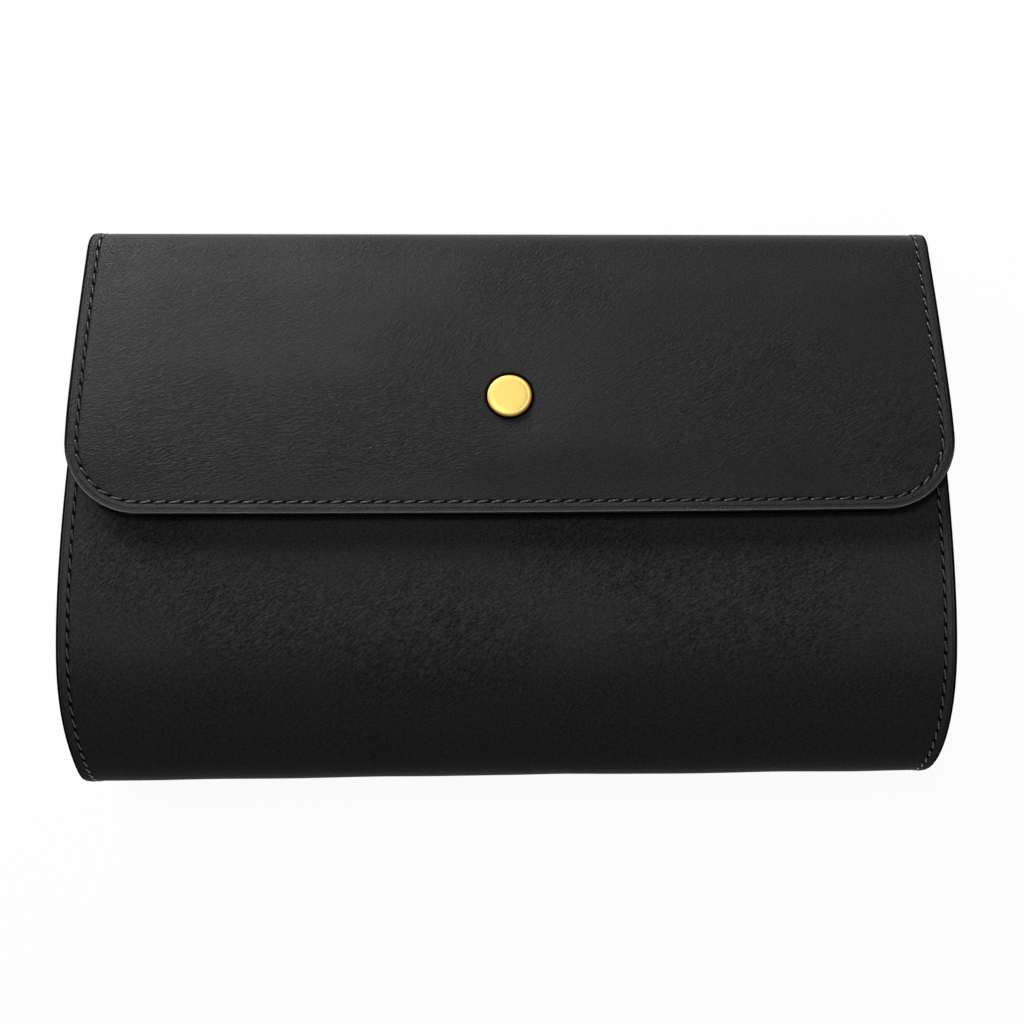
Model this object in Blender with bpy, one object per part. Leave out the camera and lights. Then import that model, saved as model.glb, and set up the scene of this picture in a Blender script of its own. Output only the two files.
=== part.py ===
"""A leather organizer case with a flap and a snap, lying on its back.

Metres, +Z up. X runs across the case, +Y towards the fold that joins the flap to the back.
The origin is under the middle of the case, on the surface that it lies on.

Side profiles are lists of (y, z) points. The shell's profile starts at the fold, runs along
the back, round the bottom and up the front to the mouth, so its inner side is on the right.
"""

import math
from itertools import pairwise

import bmesh
import bpy
from mathutils import Matrix, Vector

# Overall size
CASE_WIDTH = 0.240
CASE_HEIGHT = 0.158
CASE_DEPTH = 0.045

# Leather, linings and the gap that touching pieces keep
LEATHER = 0.0015
LINING = 0.0007
FACING = 0.0010
FLAP_LINING = 0.0010
SEAM_GAP = 0.0003

# Side profile of the shell
BACK_CORNER_RADIUS = 0.012
BELLY_REACH = 0.039
CREST_HANDLE = 0.025
MOUTH_HANDLE = 0.040
MOUTH_SETBACK = 0.0115

# Top fold and flap
FOLD_RADIUS = 0.009
SHOULDER_RISE = 0.010
FLAP_CLEARANCE = 0.0030
FLAP_END_CLEARANCE = 0.0013
FLAP_LENGTH = 0.0784
FLAP_CORNER_RADIUS = 0.0203
FLAP_SKEW = 0.0012

# Gussets
FLANGE_WIDTH = 0.006
GUSSET_LEATHER = 0.0012
BELLY_FOLD_DEPTH = 0.004
FOLD_CREASE = 0.0024
LINING_MARGIN = 0.0045

# Front facing, inside the mouth
FACING_DEPTH = 0.048

# Snap
SNAP_FROM_MOUTH = 0.0352
CAP_DIAMETER = 0.0120
CAP_HEIGHT = 0.0011
CAP_EDGE = 0.0004
SHANK_DIAMETER = 0.0034
SOCKET_DIAMETER = 0.0100
SOCKET_FLANGE = 0.0005
SOCKET_BODY_DIAMETER = 0.0080
SOCKET_BODY_HEIGHT = 0.0011
SOCKET_BORE = 0.0050
STUD_DIAMETER = 0.0090
STUD_FLANGE = 0.0005
STUD_BALL_DIAMETER = 0.0038
STUD_NECK_DIAMETER = 0.0032
STUD_HEIGHT = 0.0013
STUD_BORE = 0.0022
EYELET_DIAMETER = 0.0080
EYELET_FLANGE = 0.0005
EYELET_TUBE = 0.0016
WASHER_DIAMETER = 0.0160
WASHER_THICKNESS = 0.0010
HOLE_CLEARANCE = 0.0003
METAL_ROUND = 0.0003

# Slip pockets on the back wall
POCKET_THICKNESS = 0.0009
POCKET_WIDTH = 0.078
POCKET_HEIGHT = 0.062
POCKET_SPACING = 0.004
POCKET_FROM_BOTTOM = 0.016
POCKET_THUMB_RADIUS = 0.009

# Elastic loops on the back wall, above the pockets
LOOP_BAND = 0.020
LOOP_THICKNESS = 0.0010
LOOP_FOOT = 0.006
LOOP_FROM_POCKET = 0.006
LOOP_FROM_GUSSET = 0.002
CABLE_LOOP_WIDTH = 0.024
CABLE_LOOP_HEIGHT = 0.009
PEN_LOOP_WIDTH = 0.013
PEN_LOOP_HEIGHT = 0.011
LOOP_SPACING = 0.003

# How finely curves are cut
CORNER_STEPS = 7
BELLY_STEPS = 12
FRONT_STEPS = 14
FOLD_STEPS = 16
FLAP_STEPS = 12
FLAP_CORNER_STEPS = 9
GUSSET_STEPS = 14
LOOP_STEPS = 12
TURN_STEPS = 32

# Holes run this far past the walls that they cut
OVERRUN = 0.002

# Linear base colours, roughness and metallic value
BLACK_LEATHER = ((0.022, 0.022, 0.023), 0.55, 0.0)
BLACK_LINING = ((0.016, 0.016, 0.017), 0.85, 0.0)
BLACK_ELASTIC = ((0.012, 0.012, 0.012), 0.9, 0.0)
PALE_BRASS = ((0.86, 0.68, 0.26), 0.3, 1.0)

HALF_WIDTH = CASE_WIDTH / 2
HALF_HEIGHT = CASE_HEIGHT / 2
FLAP_THICKNESS = LEATHER + SEAM_GAP + FLAP_LINING
LINING_START = LEATHER + SEAM_GAP


# Profiles


def arc(centre, radii, start, end, steps):
    """Points round a circle or an upright ellipse, from angle start to end in radians."""
    angles = [start + (end - start) * k / steps for k in range(steps + 1)]
    return [
        centre + Vector((radii[0] * math.cos(angle), radii[1] * math.sin(angle)))
        for angle in angles
    ]


def bezier(first, leaving, arriving, last, steps):
    """Points along one cubic curve, both ends included."""
    points = []
    for k in range(steps + 1):
        t = k / steps
        u = 1 - t
        points.append(
            first * u**3
            + leaving * (3 * t * u**2)
            + arriving * (3 * t**2 * u)
            + last * t**3
        )
    return points


def right_of(direction):
    """The unit vector a quarter turn clockwise from a direction."""
    return Vector((direction.y, -direction.x)).normalized()


def side_vectors(points):
    """For each point, the vector that moves both lines meeting there one unit to the right."""
    sides = [right_of(b - a) for a, b in pairwise(points)]
    vectors = [sides[0]]
    for before, after in pairwise(sides):
        middle = (before + after).normalized()
        vectors.append(middle / middle.dot(after))
    return vectors + [sides[-1]]


def offset(points, distances):
    """The line moved to its right, by one distance or by one for each point."""
    if isinstance(distances, float):
        distances = [distances] * len(points)
    return [
        point + side * distance
        for point, side, distance in zip(points, side_vectors(points), distances)
    ]


def lengths_along(points):
    """The distance along the line at each of its points."""
    total = [0.0]
    for a, b in pairwise(points):
        total.append(total[-1] + (b - a).length)
    return total


def along(points, distance):
    """The point at a distance along a line of points, and the line's direction there."""
    gone = lengths_along(points)
    distance = min(max(distance, gone[0]), gone[-1])
    for index in range(1, len(points)):
        if distance <= gone[index]:
            break
    before, after = points[index - 1], points[index]
    share = (distance - gone[index - 1]) / (gone[index] - gone[index - 1])
    return before.lerp(after, share), (after - before).normalized()


def stretch(points, start, end):
    """The part of a line between two distances along it, with the points between them."""
    gone = lengths_along(points)
    middle = [point for point, at in zip(points, gone) if start < at < end]
    return [along(points, start)[0]] + middle + [along(points, end)[0]]


def mouth_line():
    """The fold's centre, the flap line's slope, and the point where it leaves the fold."""
    centre = Vector((HALF_HEIGHT - FOLD_RADIUS, FOLD_RADIUS))
    crest_y = BELLY_REACH - HALF_HEIGHT
    shoulder = Vector((crest_y + CREST_HANDLE, CASE_DEPTH + SHOULDER_RISE))
    reach = shoulder - centre
    slope = math.atan2(reach.y, -reach.x) - math.asin(FOLD_RADIUS / reach.length)
    leaving = math.pi / 2 - slope
    end = centre + FOLD_RADIUS * Vector((math.cos(leaving), math.sin(leaving)))
    return centre, slope, end


def front_profile():
    """The front panel's outer face, from the crest to the mouth."""
    _, slope, fold_end = mouth_line()
    rising = Vector((-math.cos(slope), math.sin(slope)))
    outward = Vector((math.sin(slope), math.cos(slope)))
    mouth = fold_end + rising * MOUTH_SETBACK - outward * (FLAP_THICKNESS + FLAP_CLEARANCE)
    crest = Vector((BELLY_REACH - HALF_HEIGHT, CASE_DEPTH))
    leaving = crest + Vector((CREST_HANDLE, 0))
    return bezier(crest, leaving, mouth + rising * MOUTH_HANDLE, mouth, FRONT_STEPS)


def bottom_profile():
    """The outer face round the bottom, from the back to the crest."""
    corner = Vector((BACK_CORNER_RADIUS - HALF_HEIGHT, BACK_CORNER_RADIUS))
    belly = Vector((BELLY_REACH - HALF_HEIGHT, BACK_CORNER_RADIUS))
    back_corner = arc(
        corner, (BACK_CORNER_RADIUS,) * 2, -math.pi / 2, -math.pi, CORNER_STEPS
    )
    belly_radii = (BELLY_REACH, CASE_DEPTH - BACK_CORNER_RADIUS)
    return back_corner + arc(belly, belly_radii, math.pi, math.pi / 2, BELLY_STEPS)[1:]


def shell_profile():
    """The shell's whole outer face, from the fold round to the mouth."""
    fold_centre = mouth_line()[0]
    back_top = Vector((fold_centre.x - SEAM_GAP, 0))
    return [back_top] + bottom_profile() + front_profile()[1:]


def fold_profile():
    """The outer face round the top fold, from the flap to the back."""
    centre, slope, _ = mouth_line()
    leaving = math.pi / 2 - slope
    return arc(centre, (FOLD_RADIUS,) * 2, leaving, -math.pi / 2, FOLD_STEPS)


def flap_profile():
    """The flap's outer face, from its free end to the fold.

    It lies a set clearance above the front panel, which narrows past the snap.
    """
    _, slope, fold_end = mouth_line()
    rising = Vector((-math.cos(slope), math.sin(slope)))
    front = front_profile()[::-1]
    under = FLAP_LENGTH - MOUTH_SETBACK
    stations = []
    for k in range(FLAP_STEPS + 1):
        distance = under * k / FLAP_STEPS
        point, direction = along(front, distance)
        past = max(0.0, (distance - SNAP_FROM_MOUTH) / (under - SNAP_FROM_MOUTH))
        narrowing = (1 - math.cos(math.pi * past)) / 2
        clearance = FLAP_CLEARANCE + (FLAP_END_CLEARANCE - FLAP_CLEARANCE) * narrowing
        stations.append(point + right_of(direction) * (clearance + FLAP_THICKNESS))
    return stations[::-1] + [fold_end + rising * SEAM_GAP]


# Building blocks


def material(name, look):
    colour, roughness, metallic = look
    made = bpy.data.materials.get(name)
    if made is None:
        made = bpy.data.materials.new(name)
        made.use_nodes = True
        shader = made.node_tree.nodes["Principled BSDF"]
        shader.inputs["Base Color"].default_value = (*colour, 1)
        shader.inputs["Roughness"].default_value = roughness
        shader.inputs["Metallic"].default_value = metallic
    return made


def finish(name, mesh, look, smooth_angle=math.radians(35)):
    """Turn a bmesh into a named object with its material and smooth round faces."""
    bmesh.ops.recalc_face_normals(mesh, faces=mesh.faces)
    data = bpy.data.meshes.new(name)
    mesh.to_mesh(data)
    mesh.free()
    data.materials.append(material(*look))
    data.shade_smooth()
    data.set_sharp_from_angle(angle=smooth_angle)
    made = bpy.data.objects.new(name, data)
    bpy.context.scene.collection.objects.link(made)
    return made


def across(x, point):
    """A side profile's point, x across the case."""
    return Vector((x, point.x, point.y))


def band(name, outer, inner, edges, place, look):
    """A closed strip of sheet between two matching lines, with two side edges per station."""
    mesh = bmesh.new()
    rings = []
    for over, under, (low, high) in zip(outer, inner, edges):
        corners = [(low, over), (high, over), (high, under), (low, under)]
        rings.append([mesh.verts.new(place(*corner)) for corner in corners])
    for one, two in pairwise(rings):
        for k in range(len(one)):
            mesh.faces.new((one[k - 1], one[k], two[k], two[k - 1]))
    mesh.faces.new(rings[0])
    mesh.faces.new(rings[-1])
    return finish(name, mesh, look)


def strip(name, profile, depth, thickness, half_width, look):
    """A strip of constant width that follows a profile, depth under it."""
    outer = offset(profile, depth)
    inner = offset(profile, depth + thickness)
    edges = [(-half_width, half_width)] * len(profile)
    return band(name, outer, inner, edges, across, look)


def turned(name, profile, frame, look, closed=False):
    """A turned piece: (radius, height) points revolved about the frame's Z axis."""
    mesh = bmesh.new()
    rings = []
    for radius, height in profile:
        if radius == 0:
            rings.append([mesh.verts.new(frame @ Vector((0, 0, height)))])
            continue
        turns = [2 * math.pi * k / TURN_STEPS for k in range(TURN_STEPS)]
        rings.append(
            [
                mesh.verts.new(
                    frame @ Vector((radius * math.cos(a), radius * math.sin(a), height))
                )
                for a in turns
            ]
        )
    pairs = list(pairwise(rings)) + ([(rings[-1], rings[0])] if closed else [])
    for one, two in pairs:
        for k in range(TURN_STEPS):
            corners = [one[k - 1 if len(one) > 1 else 0], one[k if len(one) > 1 else 0]]
            corners += [two[k if len(two) > 1 else 0], two[k - 1 if len(two) > 1 else 0]]
            mesh.faces.new(list(dict.fromkeys(corners)))
    return finish(name, mesh, look)


def cut_hole(piece, frame, radius, low, high):
    """Cut a round hole along the frame's Z axis, between two heights."""
    bpy.ops.mesh.primitive_cylinder_add(vertices=TURN_STEPS, radius=radius, depth=high - low)
    cutter = bpy.context.object
    cutter.name = f"{piece.name}_hole_cutter"
    cutter.matrix_world = frame @ Matrix.Translation((0, 0, (low + high) / 2))
    cutter.hide_render = True
    cutter.display_type = "WIRE"
    hole = piece.modifiers.new("Hole", "BOOLEAN")
    hole.object = cutter
    hole.operation = "DIFFERENCE"
    hole.solver = "EXACT"
    return cutter


# Shell, linings and facing


def make_shell():
    return strip("outer_shell", shell_profile(), 0.0, LEATHER, HALF_WIDTH, LEATHER_LOOK)


def lining_half_width():
    """Linings stop short of the gussets' flanges and of where their walls leave them."""
    return HALF_WIDTH - FLANGE_WIDTH - LINING_MARGIN


def make_body_lining():
    """The lining, which runs up the front to the facing's lower edge."""
    profile = shell_profile()
    total = lengths_along(profile)[-1]
    covered = stretch(profile, SEAM_GAP, total - FACING_DEPTH - SEAM_GAP)
    return strip(
        "body_lining", covered, LINING_START, LINING, lining_half_width(), LINING_LOOK
    )


def make_front_facing():
    """The strip that stiffens the mouth, in line with the lining."""
    profile = shell_profile()
    total = lengths_along(profile)[-1]
    covered = stretch(profile, total - FACING_DEPTH, total - SEAM_GAP)
    return strip(
        "front_facing", covered, LINING_START, FACING, lining_half_width(), LEATHER_LOOK
    )


# Gussets


def gusset_rows():
    """Front and back points of the gusset at matching heights, and the bottom run between."""
    profile = shell_profile()
    seam = offset(profile, LINING_START)
    gone = lengths_along(seam)
    crest = len(seam) - 1 - FRONT_STEPS
    front_length = gone[-1] - gone[crest] - SEAM_GAP
    front, back = [], []
    for k in range(GUSSET_STEPS + 1):
        point = along(seam, gone[crest] + front_length * k / GUSSET_STEPS)[0]
        front.append(point)
        back.append(Vector((point.x, LINING_START)))
    bottom = [point for point in seam[1:crest] if point.x < back[0].x]
    return front, back, bottom


def fold_points(front, back):
    """How far in each pair's crease lies, and its place between front and back."""
    half_gaps = [(a - b).length / 2 for a, b in zip(front, back)]
    half_gusset = math.hypot(max(half_gaps), BELLY_FOLD_DEPTH)
    depths = [math.sqrt(half_gusset**2 - half_gap**2) for half_gap in half_gaps]
    return [(depth, (a + b) / 2) for depth, a, b in zip(depths, front, back)]


def make_gusset(name, side):
    """A side wall: flanges along the seam and a wall between them that folds inwards.

    The flesh side is drawn as an open surface, and Solidify gives it its thickness.
    """
    front, back, bottom = gusset_rows()
    creases = fold_points(front, back)
    root = HALF_WIDTH - FLANGE_WIDTH
    half_crease = Vector((0, FOLD_CREASE / 2))
    mesh = bmesh.new()

    def corner(x, point):
        return mesh.verts.new(across(side * x, point))

    def sew(one, two):
        for (a, b), (c, d) in zip(pairwise(one), pairwise(two)):
            mesh.faces.new((a, b, d, c))

    seam = front[::-1] + bottom[::-1] + back
    edge_row = [corner(HALF_WIDTH, point) for point in seam]
    root_row = [corner(root, point) for point in seam]
    upper = [corner(root - depth, middle + half_crease) for depth, middle in creases]
    lower = [corner(root - depth, middle - half_crease) for depth, middle in creases]
    count = len(front)
    sew(edge_row, root_row)
    sew(root_row[:count], upper[::-1])
    sew(upper, lower)
    sew(lower, root_row[-count:])
    fan = root_row[count - 1 : len(seam) - count + 1]
    middle_fan = len(fan) // 2
    for k, (a, b) in enumerate(pairwise(fan)):
        tip = upper[0] if k < middle_fan else lower[0]
        mesh.faces.new((a, b, tip))
    mesh.faces.new((fan[middle_fan], lower[0], upper[0]))

    made = finish(name, mesh, LEATHER_LOOK)
    thicken = made.modifiers.new("Thickness", "SOLIDIFY")
    thicken.thickness = GUSSET_LEATHER
    thicken.offset = -1
    thicken.use_even_offset = True
    thicken.use_quality_normals = True
    return made


# Top fold and flap


def make_fold_pieces():
    profile = fold_profile()
    strip("top_fold", profile, 0.0, LEATHER, HALF_WIDTH, LEATHER_LOOK)
    strip(
        "fold_lining", profile, LINING_START, FLAP_LINING, lining_half_width(), LINING_LOOK
    )


def flap_outline():
    """Stations along the flap with their half widths, closer together round the corners."""
    profile = flap_profile()
    stations, half_widths = [], []
    for k in range(FLAP_CORNER_STEPS):
        turn = math.pi / 2 * k / FLAP_CORNER_STEPS
        distance = FLAP_CORNER_RADIUS * (1 - math.cos(turn))
        stations.append(along(profile, distance)[0])
        half_widths.append(HALF_WIDTH - FLAP_CORNER_RADIUS * (1 - math.sin(turn)))
    straight = lengths_along(profile)[-1] - FLAP_CORNER_RADIUS
    for k in range(FLAP_STEPS + 1):
        distance = FLAP_CORNER_RADIUS + straight * k / FLAP_STEPS
        stations.append(along(profile, distance)[0])
        half_widths.append(HALF_WIDTH)
    return stations, half_widths


def make_flap_sheet(name, depth, thickness, look):
    """A flap layer, leaning sideways by the skew at its free end."""
    stations, half_widths = flap_outline()
    gone = lengths_along(stations)
    shifts = [FLAP_SKEW * (1 - distance / gone[-1]) for distance in gone]
    edges = [(shift - half, shift + half) for half, shift in zip(half_widths, shifts)]
    outer = offset(stations, depth)
    inner = offset(stations, depth + thickness)
    return band(name, outer, inner, edges, across, look)


# Snap


def snap_frame():
    """A frame on the front panel's face at the snap, its Z axis square to the panel."""
    front = front_profile()[::-1]
    point, direction = along(front, SNAP_FROM_MOUTH)
    normal = right_of(direction)
    up = across(0, normal)
    side = Vector((1, 0, 0))
    along_panel = up.cross(side)
    frame = Matrix((side, along_panel, up)).transposed().to_4x4()
    frame.translation = across(0, point)
    return frame


def make_cap(frame):
    """The cap's rounded disc on the flap, with its shank down through the leather."""
    seat = FLAP_CLEARANCE + FLAP_THICKNESS + SEAM_GAP
    radius, top = CAP_DIAMETER / 2, seat + CAP_HEIGHT
    shank = SHANK_DIAMETER / 2
    shank_end = FLAP_CLEARANCE - SEAM_GAP
    profile = [
        (0, shank_end),
        (shank, shank_end),
        (shank, seat),
        (radius - CAP_EDGE, seat),
        (radius, seat + CAP_EDGE),
        (radius, top - CAP_EDGE),
        (radius - CAP_EDGE, top),
        (0, top),
    ]
    return turned("snap_cap", profile, frame, BRASS_LOOK)


def make_socket(frame):
    """The ring under the flap that the stud presses into."""
    top = FLAP_CLEARANCE - SEAM_GAP
    shoulder = top - SOCKET_FLANGE
    bottom = shoulder - SOCKET_BODY_HEIGHT
    bore, body, flange = SOCKET_BORE / 2, SOCKET_BODY_DIAMETER / 2, SOCKET_DIAMETER / 2
    profile = [
        (bore, bottom + METAL_ROUND),
        (bore + METAL_ROUND, bottom),
        (body - METAL_ROUND, bottom),
        (body, bottom + METAL_ROUND),
        (body, shoulder),
        (flange, shoulder),
        (flange, top),
        (bore, top),
    ]
    return turned("snap_socket", profile, frame, BRASS_LOOK, closed=True)


def make_stud(frame):
    """The stud's flange and its hollow ball, set on the front panel."""
    seat = SEAM_GAP
    shoulder = seat + STUD_FLANGE
    top = shoulder + STUD_HEIGHT
    bore, neck = STUD_BORE / 2, STUD_NECK_DIAMETER / 2
    ball, flange = STUD_BALL_DIAMETER / 2, STUD_DIAMETER / 2
    profile = [
        (bore, seat),
        (flange, seat),
        (flange, shoulder),
        (neck, shoulder),
        (neck, shoulder + METAL_ROUND),
        (ball, top - 2 * METAL_ROUND),
        (ball - METAL_ROUND, top),
        (bore, top),
    ]
    return turned("snap_stud", profile, frame, BRASS_LOOK, closed=True)


def make_eyelet(frame):
    """The eyelet behind the panel, whose tube runs up inside the stud."""
    washer_back = -(LINING_START + FACING + SEAM_GAP + WASHER_THICKNESS)
    top = washer_back - SEAM_GAP
    bottom = top - EYELET_FLANGE
    tube, flange = EYELET_TUBE / 2, EYELET_DIAMETER / 2
    tip = SEAM_GAP + STUD_FLANGE + STUD_HEIGHT - METAL_ROUND
    profile = [(0, bottom), (flange, bottom), (flange, top), (tube, top), (tube, tip), (0, tip)]
    return turned("snap_eyelet", profile, frame, BRASS_LOOK)


def make_washer(frame):
    """The leather washer that backs the stud inside the front panel."""
    top = -(LINING_START + FACING + SEAM_GAP)
    bottom = top - WASHER_THICKNESS
    hole, radius = EYELET_TUBE / 2 + HOLE_CLEARANCE, WASHER_DIAMETER / 2
    profile = [(hole, bottom), (radius, bottom), (radius, top), (hole, top)]
    return turned("snap_washer", profile, frame, LEATHER_LOOK, closed=True)


# Inside fittings


def back_wall_top():
    """The height of the back lining's inner face, with the gap for what is sewn on it."""
    return LINING_START + LINING + SEAM_GAP


def pocket_bottom():
    """Where the pockets start, clear of the rounded bottom corner."""
    return BACK_CORNER_RADIUS + POCKET_FROM_BOTTOM - HALF_HEIGHT


def make_pocket(name, side):
    """A flat slip pocket with a thumb notch in its open edge."""
    low = pocket_bottom()
    high = low + POCKET_HEIGHT
    near = side * POCKET_SPACING / 2
    far = near + side * POCKET_WIDTH
    middle = (near + far) / 2
    notch = arc(
        Vector((middle, high)),
        (POCKET_THUMB_RADIUS,) * 2,
        0.0,
        -math.pi,
        LOOP_STEPS,
    )
    left, right = min(near, far), max(near, far)
    outline = [(left, low), (right, low), (right, high)]
    outline += [tuple(point) for point in notch] + [(left, high)]
    mesh = bmesh.new()
    base = back_wall_top()
    corners = [mesh.verts.new((x, y, base)) for x, y in outline]
    face = mesh.faces.new(corners)
    grown = bmesh.ops.extrude_face_region(mesh, geom=[face])["geom"]
    raised = [item for item in grown if isinstance(item, bmesh.types.BMVert)]
    bmesh.ops.translate(mesh, verts=raised, vec=(0, 0, POCKET_THICKNESS))
    return finish(name, mesh, LINING_LOOK)


def make_loop(name, x, width, height):
    """An elastic loop: two sewn feet and an arch between them, seen from above the case."""
    base = back_wall_top()
    low = pocket_bottom() + POCKET_HEIGHT + LOOP_FROM_POCKET
    ground = Vector((x, base + LOOP_THICKNESS))
    arch = arc(ground, (width / 2, height), math.pi, 0.0, LOOP_STEPS)
    left_foot = ground - Vector((width / 2 + LOOP_FOOT, 0))
    right_foot = ground + Vector((width / 2 + LOOP_FOOT, 0))
    inner = [left_foot] + arch + [right_foot]
    outer = offset(inner, -LOOP_THICKNESS)
    # The feet keep their thickness under the arch's own line.
    edges = [(low, low + LOOP_BAND)] * len(inner)

    def place(y, point):
        return Vector((point.x, y, point.y - LOOP_THICKNESS))

    return band(name, outer, inner, edges, place, ELASTIC_LOOK)


def make_loops():
    """As many cable loops as the row holds, then the pen loop, centred on the case."""
    front, back, _ = gusset_rows()
    deepest = max(depth for depth, _ in fold_points(front, back))
    row = 2 * (HALF_WIDTH - FLANGE_WIDTH - deepest - LOOP_FROM_GUSSET)
    cable_span = CABLE_LOOP_WIDTH + 2 * LOOP_FOOT
    pen_span = PEN_LOOP_WIDTH + 2 * LOOP_FOOT
    count = int((row - pen_span) / (cable_span + LOOP_SPACING))
    x = -(count * (cable_span + LOOP_SPACING) + pen_span) / 2
    for k in range(count):
        name = f"cable_loop_{k + 1}"
        make_loop(name, x + cable_span / 2, CABLE_LOOP_WIDTH, CABLE_LOOP_HEIGHT)
        x += cable_span + LOOP_SPACING
    make_loop("pen_loop", x + pen_span / 2, PEN_LOOP_WIDTH, PEN_LOOP_HEIGHT)


def main():
    for item in list(bpy.data.objects):
        bpy.data.objects.remove(item, do_unlink=True)

    shell = make_shell()
    make_body_lining()
    facing = make_front_facing()
    make_gusset("gusset_left", -1)
    make_gusset("gusset_right", 1)
    make_fold_pieces()
    leather = make_flap_sheet("flap_leather", 0.0, LEATHER, LEATHER_LOOK)
    lining = make_flap_sheet("flap_lining", LINING_START, FLAP_LINING, LINING_LOOK)
    make_pocket("slip_pocket_left", -1)
    make_pocket("slip_pocket_right", 1)
    make_loops()

    frame = snap_frame()
    cap = make_cap(frame)
    socket = make_socket(frame)
    make_stud(frame)
    make_eyelet(frame)
    make_washer(frame)
    tube_hole = EYELET_TUBE / 2 + HOLE_CLEARANCE
    shank_hole = SHANK_DIAMETER / 2 + HOLE_CLEARANCE
    panel_back = -(LINING_START + FACING + OVERRUN)
    for piece in (shell, facing):
        cut_hole(piece, frame, tube_hole, panel_back, OVERRUN)
    flap_top = FLAP_CLEARANCE + FLAP_THICKNESS + OVERRUN
    cutters = [
        cut_hole(piece, frame, shank_hole, FLAP_CLEARANCE - OVERRUN, flap_top)
        for piece in (leather, lining)
    ]

    hinge = bpy.data.objects.new("flap_hinge", None)
    centre = mouth_line()[0]
    hinge.location = (0, centre.x + FOLD_RADIUS - LEATHER, centre.y)
    bpy.context.scene.collection.objects.link(hinge)
    bpy.context.view_layer.update()
    for piece in (leather, lining, cap, socket, *cutters):
        piece.parent = hinge
        piece.matrix_parent_inverse = hinge.matrix_world.inverted()


LEATHER_LOOK = ("black_leather", BLACK_LEATHER)
LINING_LOOK = ("black_lining", BLACK_LINING)
ELASTIC_LOOK = ("black_elastic", BLACK_ELASTIC)
BRASS_LOOK = ("pale_brass", PALE_BRASS)

main()
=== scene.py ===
"""The finished look of a leather organizer case with a flap and a snap.

Metres, as in the model: X runs across the case, +Y towards the top fold, +Z up out of the front.
Leather and cloth are cut flat as a grid, keep their flat pattern as UVs, and are then bent
along a side profile. A profile is a list of (y, z) points whose inner side is on the right.
"""

from bisect import bisect_left
from itertools import pairwise, product
from math import asin, atan2, copysign, cos, exp, hypot, pi, radians, sin, sqrt

import bpy
from mathutils import Euler, Matrix, Vector, noise


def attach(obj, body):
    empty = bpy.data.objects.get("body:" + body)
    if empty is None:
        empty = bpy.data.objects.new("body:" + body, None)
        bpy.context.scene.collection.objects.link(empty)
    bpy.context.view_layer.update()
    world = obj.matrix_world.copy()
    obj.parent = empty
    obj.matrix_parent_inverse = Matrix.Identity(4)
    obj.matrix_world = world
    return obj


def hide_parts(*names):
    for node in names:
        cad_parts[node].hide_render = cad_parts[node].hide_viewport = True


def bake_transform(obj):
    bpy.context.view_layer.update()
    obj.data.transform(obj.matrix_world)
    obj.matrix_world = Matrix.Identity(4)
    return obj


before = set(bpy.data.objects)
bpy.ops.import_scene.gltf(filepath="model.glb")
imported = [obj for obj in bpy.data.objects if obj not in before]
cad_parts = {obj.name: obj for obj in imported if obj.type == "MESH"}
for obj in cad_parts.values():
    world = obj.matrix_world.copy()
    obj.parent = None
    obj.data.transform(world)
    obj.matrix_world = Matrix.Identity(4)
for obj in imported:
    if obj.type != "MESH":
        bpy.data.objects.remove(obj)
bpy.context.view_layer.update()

MM = 0.001

# Overall size and sheet thicknesses, as in the model
CASE_WIDTH = 240 * MM
CASE_HEIGHT = 158 * MM
CASE_DEPTH = 45 * MM
LEATHER = 1.5 * MM
LINING = 0.7 * MM
FACING = 1.0 * MM
FLAP_LINING = 1.0 * MM
ROUNDED_EDGE = 0.42 * MM
SEAM_GAP = 0.3 * MM
GLUE_GAP = 0.04 * MM

# Side profile
BACK_CORNER_RADIUS = 12 * MM
BELLY_REACH = 39 * MM
CREST_HANDLE = 25 * MM
MOUTH_HANDLE = 40 * MM
MOUTH_SETBACK = 11.5 * MM
FOLD_RADIUS = 9 * MM
SHOULDER_RISE = 10 * MM
FLAP_CLEARANCE = 3.0 * MM
FLAP_END_CLEARANCE = 1.3 * MM
FLAP_LENGTH = 78.4 * MM
FLAP_CORNER_RADIUS = 20.3 * MM
FLAP_SKEW = 1.2 * MM
END_DROP, END_SLANT, END_BOW = 0.26 * MM, 0.47 * MM, 0.58 * MM

# How the soft case has settled: its lower left corner flares, and its bottom hangs aslant
CORNER_FLARE = 2.31 * MM
CORNER_LENGTHS = (-62 * MM, -35 * MM)
CORNER_HEIGHTS = (20 * MM, 46 * MM)
BOTTOM_SAG, BOTTOM_SLANT = 0.15 * MM, 0.79 * MM
BOTTOM_REACH = 8 * MM

# Seams
STITCH_MARGIN = 3.2 * MM
STITCH_PITCH = 3.9 * MM
STITCH_LENGTH = 3.5 * MM
STITCH_SLANT = radians(8)
STITCH_CURL, STITCH_DIP = 0.14 * MM, 0.30 * MM
THREAD = 0.58 * MM
RIM_RISE = 0.20 * MM
GROOVE_DEPTH = 0.42 * MM
GROOVE_WIDTH = 0.50 * MM

# Gussets and linings
FLANGE_WIDTH = 6 * MM
GUSSET_LEATHER = 1.2 * MM
BELLY_FOLD_DEPTH = 4 * MM
FOLD_CREASE = 2.4 * MM
LINING_MARGIN = 4.5 * MM
FACING_DEPTH = 48 * MM

# Snap
SNAP_FROM_MOUTH = 35.2 * MM
CAP_RADIUS = 6 * MM
CAP_HEIGHT = 1.1 * MM
CAP_ROUND, CAP_DROP = 0.75 * MM, 0.50 * MM
SHANK_RADIUS = 1.7 * MM
WASHER_RADIUS = 8 * MM
WASHER_THICKNESS = 1.0 * MM
DIMPLE_REACH = 11.5 * MM
PUFF = 1.15 * MM

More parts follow.
